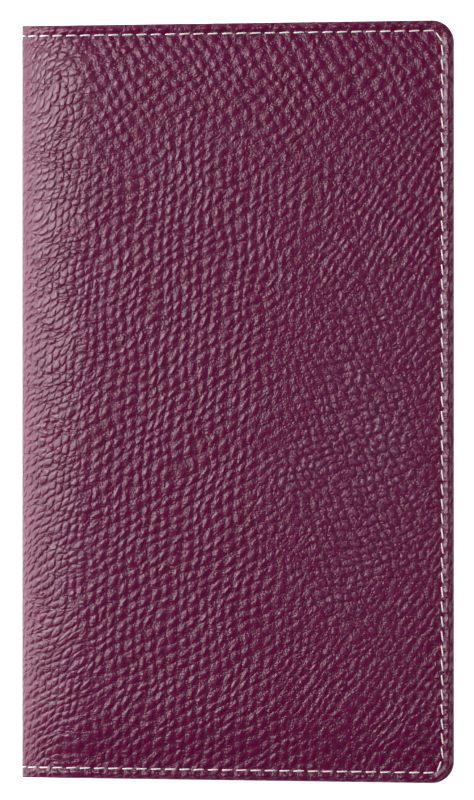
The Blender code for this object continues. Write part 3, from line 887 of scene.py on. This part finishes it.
def smooth_leather():
    """Thin leather of the pockets: fine even grain, a pressed line and a row of stitches at the hem."""
    material, tree, shader = new_material("smooth_leather", 0.45)
    flat = flat_place(tree)
    axes = add_node(tree, "SeparateXYZ", {0: flat})
    sockets = {"Vector": flat, "Scale": 1.7, "Randomness": 0.9}
    grain = add_node(tree, "TexVoronoi", sockets, voronoi_dimensions="2D", feature="F1")
    dome = ramp(tree, grain.outputs["Distance"], 0.1, 0.62, 1.0, 0.0)
    from_line = calc(tree, "ABSOLUTE", calc(tree, "SUBTRACT", axes.outputs[0], HEM))
    pressed = ramp(tree, from_line, 0.0, 0.4, 1.0, 0.0)
    step = calc(tree, "FRACT", calc(tree, "DIVIDE", axes.outputs[1], PITCH))
    in_stitch = calc(tree, "MULTIPLY", ramp(tree, step, 0.08, 0.14), ramp(tree, step, 0.86, 0.92, 1.0, 0.0))
    from_seam = calc(tree, "ABSOLUTE", calc(tree, "SUBTRACT", axes.outputs[0], HEM_SEAM))
    sewn = calc(tree, "MULTIPLY", in_stitch, ramp(tree, from_seam, 0.14, 0.2, 1.0, 0.0))
    from_middle = calc(tree, "ABSOLUTE", axes.outputs[1])
    off_margin = calc(tree, "LESS_THAN", from_middle, HALF_HEIGHT - SEAM_END - 1)
    sewn = calc(tree, "MULTIPLY", sewn, off_margin)
    creases = noise(tree, flat, 0.5, 4.0, 0.6)
    height = calc(tree, "MULTIPLY_ADD", dome, 0.35, creases)
    height = calc(tree, "MULTIPLY_ADD", pressed, -1.2, height)
    height = calc(tree, "MULTIPLY_ADD", sewn, 1.6, height)
    set_bump(tree, shader, height, 0.7, 0.0001)
    dark = (0.085, 0.0012, 0.03, 1)
    light = (0.115, 0.003, 0.043, 1)
    body = mix_colours(tree, ramp(tree, creases, 0.3, 0.7), dark, light)
    body = mix_colours(tree, calc(tree, "MULTIPLY", pressed, 0.6), body, (0.03, 0.0006, 0.011, 1))
    colour = mix_colours(tree, sewn, body, (0.86, 0.85, 0.82, 1))
    tree.links.new(colour, shader.inputs["Base Color"])
    tree.links.new(ramp(tree, dome, 0.0, 1.0, 0.5, 0.4), shader.inputs["Roughness"])
    return material


def card_stock():
    """Warm white card with a faint tooth and a few darker fibres."""
    material, tree, shader = new_material("card_stock", 0.7)
    place = object_place(tree)
    tooth = noise(tree, place, 5000.0, 3.0, 0.6)
    cloud = noise(tree, place, 220.0, 4.0)
    fibres = noise(tree, wandering(tree, place, 700.0, 0.004), 1800.0, 2.0)
    set_bump(tree, shader, tooth, 0.3, 0.00002)
    colour = mix_colours(tree, ramp(tree, cloud, 0.3, 0.7), CARD_TONE, (0.68, 0.66, 0.6, 1))
    colour = mix_colours(tree, ramp(tree, fibres, 0.66, 0.74, 0.0, 0.3), colour, (0.46, 0.41, 0.33, 1))
    tree.links.new(colour, shader.inputs["Base Color"])
    shader.inputs["Specular IOR Level"].default_value = 0.3
    return material


def print_ink():
    """Inks of the strip by number in the UV map: 0 tint, 1 rule, 2 black, 3 red; thinner in places."""
    material, tree, shader = new_material("print_ink", 0.6)
    which = add_node(tree, "SeparateXYZ", {0: flat_place(tree)}).outputs[0]
    colour = (0.51, 0.455, 0.44, 1)
    others = (0.22, 0.2, 0.19, 1), (0.022, 0.02, 0.023, 1), (0.2, 0.008, 0.035, 1)
    for number, ink in enumerate(others, start=1):
        colour = mix_colours(tree, calc(tree, "GREATER_THAN", which, number - 0.5), colour, ink)
    place = object_place(tree)
    worn = noise(tree, place, 3500.0, 3.0, 0.6)
    colour = mix_colours(tree, ramp(tree, worn, 0.5, 0.8, 0.0, 0.2), colour, CARD_TONE)
    tree.links.new(colour, shader.inputs["Base Color"])
    return material


def grey_board():
    """Pressed grey board with specks."""
    material, tree, shader = new_material("grey_board", 0.9)
    place = object_place(tree)
    specks = noise(tree, place, 2500.0, 4.0, 0.7)
    set_bump(tree, shader, specks, 0.4, 0.00005)
    colour = mix_colours(tree, ramp(tree, specks, 0.3, 0.7), (0.2, 0.18, 0.16, 1), (0.36, 0.33, 0.29, 1))
    tree.links.new(colour, shader.inputs["Base Color"])
    return material


def hole_shadow():
    """Dark inside of a needle hole."""
    material, tree, shader = new_material("hole_shadow", 0.8)
    place = object_place(tree)
    spots = noise(tree, place, 3000.0)
    colour = mix_colours(tree, spots, (0.006, 0.001, 0.003, 1), (0.016, 0.002, 0.006, 1))
    tree.links.new(colour, shader.inputs["Base Color"])
    shader.inputs["Specular IOR Level"].default_value = 0.1
    return material


# Studio


def area_light(name, place, target, width, height, power):
    light = bpy.data.lights.new(name, "AREA")
    light.shape = "RECTANGLE"
    light.size = width
    light.size_y = height
    light.energy = power
    lamp = bpy.data.objects.new(name, light)
    lamp.location = place
    lamp.rotation_euler = (Vector(target) - Vector(place)).to_track_quat("-Z", "Y").to_euler()
    bpy.context.scene.collection.objects.link(lamp)
    return lamp


def studio():
    """White floor that glows, soft lights, the largest at the left, and a world that is dark above.

    The floor is brighter in a strip beside the spine, outside the picture, which the roll reflects.
    """
    material, tree, shader = new_material("white_floor", 0.9)
    place = object_place(tree)
    grain = noise(tree, place, 40.0)
    colour = mix_colours(tree, grain, (0.93, 0.93, 0.93, 1), (0.96, 0.96, 0.96, 1))
    tree.links.new(colour, shader.inputs["Base Color"])
    shader.inputs["Specular IOR Level"].default_value = 0.1
    shader.inputs["Emission Color"].default_value = (1, 1, 1, 1)
    axes = add_node(tree, "SeparateXYZ", {0: place})
    outer_side = ramp(tree, axes.outputs[0], -0.2, -0.12)
    inner_side = ramp(tree, axes.outputs[0], -0.07, -0.053, 1, 0)
    ends = ramp(tree, calc(tree, "ABSOLUTE", axes.outputs[1]), 0.05, 0.085, 1, 0)
    beside = calc(tree, "MULTIPLY", calc(tree, "MULTIPLY", outer_side, inner_side), ends)
    strength = calc(tree, "MULTIPLY_ADD", beside, 1.8, 0.95)
    tree.links.new(strength, shader.inputs["Emission Strength"])
    edge = np.linspace(-FLOOR_REACH, FLOOR_REACH, 9)
    x, y = np.meshgrid(edge, edge, indexing="ij")
    points = np.stack([x, y, np.full_like(x, FLOOR_LEVEL)], axis=-1)
    floor = add_piece("floor", points, grid_faces(*x.shape), material)
    area_light("key", (-0.83, 0.33, 0.83), (0, 0, 0), 0.7, 0.9, 19)
    area_light("low", (-1.1, 0.05, 0.3), (0, 0, 0), 0.7, 0.45, 5)
    area_light("fill", (0.9, -0.1, 0.42), (0, 0, 0), 0.8, 0.5, 2.8)
    world = bpy.data.worlds.new("studio")
    bpy.context.scene.world = world
    world.use_nodes = True
    tree = world.node_tree
    up = add_node(tree, "SeparateXYZ", {0: add_node(tree, "TexCoord").outputs["Generated"]}).outputs[2]
    glow = calc(tree, "ADD", ramp(tree, up, 0.0, 0.45, 0.6, 0.004), ramp(tree, up, 0.0, 0.12, 0.4, 0.0))
    tree.links.new(glow, tree.nodes["Background"].inputs[0])


def camera():
    """Seen from above and a little from the fore-edge, with the head at the top of the picture."""
    distance = 0.6
    tilt = math.radians(6.0)
    centre = Vector((0.00057, 0.00036, 0.0095))
    away = Vector((math.sin(tilt), 0, math.cos(tilt)))
    eye = centre + distance * away
    right = Vector((math.cos(tilt), 0, -math.sin(tilt)))
    turn = Matrix((right, Vector((0, 1, 0)), away)).transposed()
    lens = bpy.data.cameras.new("camera")
    lens.sensor_fit = "VERTICAL"
    lens.sensor_height = 36
    lens.sensor_width = 36
    pixels_high = 800
    pixels_a_millimetre = 4.727
    lens.lens = 36 * distance / (pixels_high / pixels_a_millimetre * MM)
    lens.clip_start = 0.01
    lens.clip_end = 20
    view = bpy.data.objects.new("camera", lens)
    view.matrix_world = Matrix.Translation(eye) @ turn.to_4x4()
    bpy.context.scene.collection.objects.link(view)
    bpy.context.scene.camera = view


def build_outside(thread):
    leather = pebbled_leather()
    shadow = hole_shadow()
    for side in ("back", "front"):
        skin = leather_skin(side, leather)
        bend_with_spine(skin, side)
        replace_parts(skin, side + "_leather", side + "_padding")
        holes = seam_holes(side)
        seam = stitches(side + "_stitches", side, holes, 0.16, thread, on_leather)
        bend_with_spine(seam, side)
        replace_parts(seam, side + "_thread")
        dimples = needle_holes(side + "_needle_holes", side, holes, shadow)
        bend_with_spine(dimples, side)
        if side == "front":
            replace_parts(skin, "spine_leather")
            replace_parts(seam, "spine_thread_head", "spine_thread_tail")


def build_inside(thread):
    cloth = lining_cloth()
    smooth = smooth_leather()
    for side in ("back", "front"):
        lining = lining_sheet(side, cloth)
        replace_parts(lining, side + "_lining")
        if side == "front":
            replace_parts(lining, "spine_lining")
        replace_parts(pocket_sheet(side, smooth), side + "_pocket")
        seam = stitches(side + "_inner_stitches", side, seam_holes(side), 0.1, thread, on_inner_margin)
        bend_with_spine(seam, side)
    card = card_stock()
    board = grey_board()
    for name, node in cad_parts.items():
        if name.startswith("panel_"):
            node.material_slots[0].material = card
        if name.endswith("_board"):
            node.material_slots[0].material = board
    ink = print_ink()
    shapes = digit_shapes()
    weekdays = first_weekdays()
    for number in PANEL_LEVELS:
        panel_print(number, ink, shapes, weekdays)


white = white_thread()
build_outside(white)
build_inside(white)
camera()
studio()
bpy.context.scene.view_settings.view_transform = "Standard"
